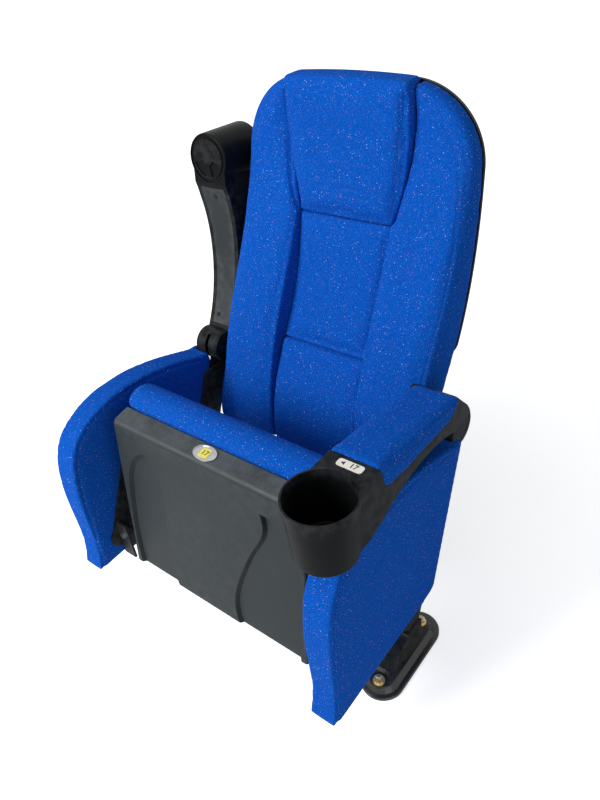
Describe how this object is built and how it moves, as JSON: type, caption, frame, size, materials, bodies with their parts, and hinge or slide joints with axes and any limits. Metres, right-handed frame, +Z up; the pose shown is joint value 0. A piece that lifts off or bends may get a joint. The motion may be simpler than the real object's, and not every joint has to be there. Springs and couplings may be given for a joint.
{
  "type": "tip-up auditorium seat",
  "caption": "Upholstered auditorium seat with a sprung tip-up seat, lift-up cup-holder arms, padded side panels and a high moulded-shell back on bolt-down standards.",
  "frame": {"origin": "centre of the four floor bolts, on the floor", "axes": "+Z up, the front of the seat is -Y, +X to the right as seen from the front"},
  "size_m": [0.734, 0.6762, 0.99],
  "materials": {
    "black_casting": "gloss black enamel",
    "black_steel": "satin black powder coat",
    "bright_steel": "bright turned steel",
    "yellow_zinc": "yellow zinc plate",
    "spring_steel": "oiled spring wire",
    "arm_plastic": "fine-grained black moulding",
    "pan_plastic": "satin dark grey moulding with light scuffs",
    "shell_plastic": "grained black moulding",
    "blue_fabric": "royal blue woven fabric with small coloured flecks",
    "plywood": "raw plywood",
    "nylon": "natural nylon",
    "black_rubber": "moulded rubber",
    "badge_chrome": "polished chrome plate",
    "badge_yellow": "yellow lacquer",
    "cream_plate": "cream plate"
  },
  "bodies": {
    "frame": {"arm_neck_left": "black_steel", "arm_neck_right": "black_steel", "arm_pin_left": "bright_steel", "arm_pin_right": "bright_steel", "back_board": "plywood", "back_bolster_left": "blue_fabric", "back_bolster_right": "blue_fabric", "back_bracket_left": "black_steel", "back_bracket_right": "black_steel", "back_panel_lower": "blue_fabric", "back_panel_middle": "blue_fabric", "back_shell": "shell_plastic", "column_left": "black_steel", "column_right": "black_steel", "down_stop_shelves": "black_steel", "floor_nuts": "yellow_zinc", "floor_washers": "yellow_zinc", "foot_left": "black_casting", "foot_right": "black_casting", "head_panel": "blue_fabric", "panel_board_left": "plywood", "panel_board_right": "plywood", "panel_padding_left": "blue_fabric", "panel_padding_right": "blue_fabric", "return_spring_left": "spring_steel", "return_spring_right": "spring_steel", "seat_axle_left": "bright_steel", "seat_axle_right": "bright_steel", "side_plate_left": "black_steel", "side_plate_right": "black_steel", "stop_bolts": "bright_steel", "stop_bracket_left": "black_steel", "stop_bracket_right": "black_steel", "stop_buffers": "black_rubber"},
    "seat": {"seat_badge": "badge_chrome", "seat_badge_insert": "badge_yellow", "seat_board": "plywood", "seat_bush_left": "nylon", "seat_bush_right": "nylon", "seat_cushion": "blue_fabric", "seat_ear_left": "black_steel", "seat_ear_right": "black_steel", "seat_pan": "pan_plastic", "stop_lugs": "black_steel"},
    "arm_left": {"arm_bushes_left": "nylon", "arm_caps_left": "arm_plastic", "arm_cover_left": "arm_plastic", "arm_moulding_left": "arm_plastic", "arm_pad_left": "blue_fabric", "arm_screws_left": "black_steel"},
    "arm_right": {"arm_bushes_right": "nylon", "arm_caps_right": "arm_plastic", "arm_cover_right": "arm_plastic", "arm_moulding_right": "arm_plastic", "arm_number_plate": "cream_plate", "arm_pad_right": "blue_fabric", "arm_screws_right": "black_steel"}
  },
  "joints": [
    {"name": "seat_tip", "type": "hinge", "parent": "frame", "child": "seat", "pos_m": [0, -0.084, 0.353], "axis": [1, 0, 0], "range_deg": [0, 84], "stiffness_Nm_per_rad": 3, "springref_deg": -45.84, "deforming": ["return_spring_left", "return_spring_right"]},
    {"name": "arm_left", "type": "hinge", "parent": "frame", "child": "arm_left", "pos_m": [-0.292, 0.217, 0.44], "axis": [1, 0, 0], "range_deg": [0, 96.6]},
    {"name": "arm_right", "type": "hinge", "parent": "frame", "child": "arm_right", "pos_m": [0.292, 0.217, 0.44], "axis": [-1, 0, 0], "range_deg": [0, 96.6]}
  ]
}
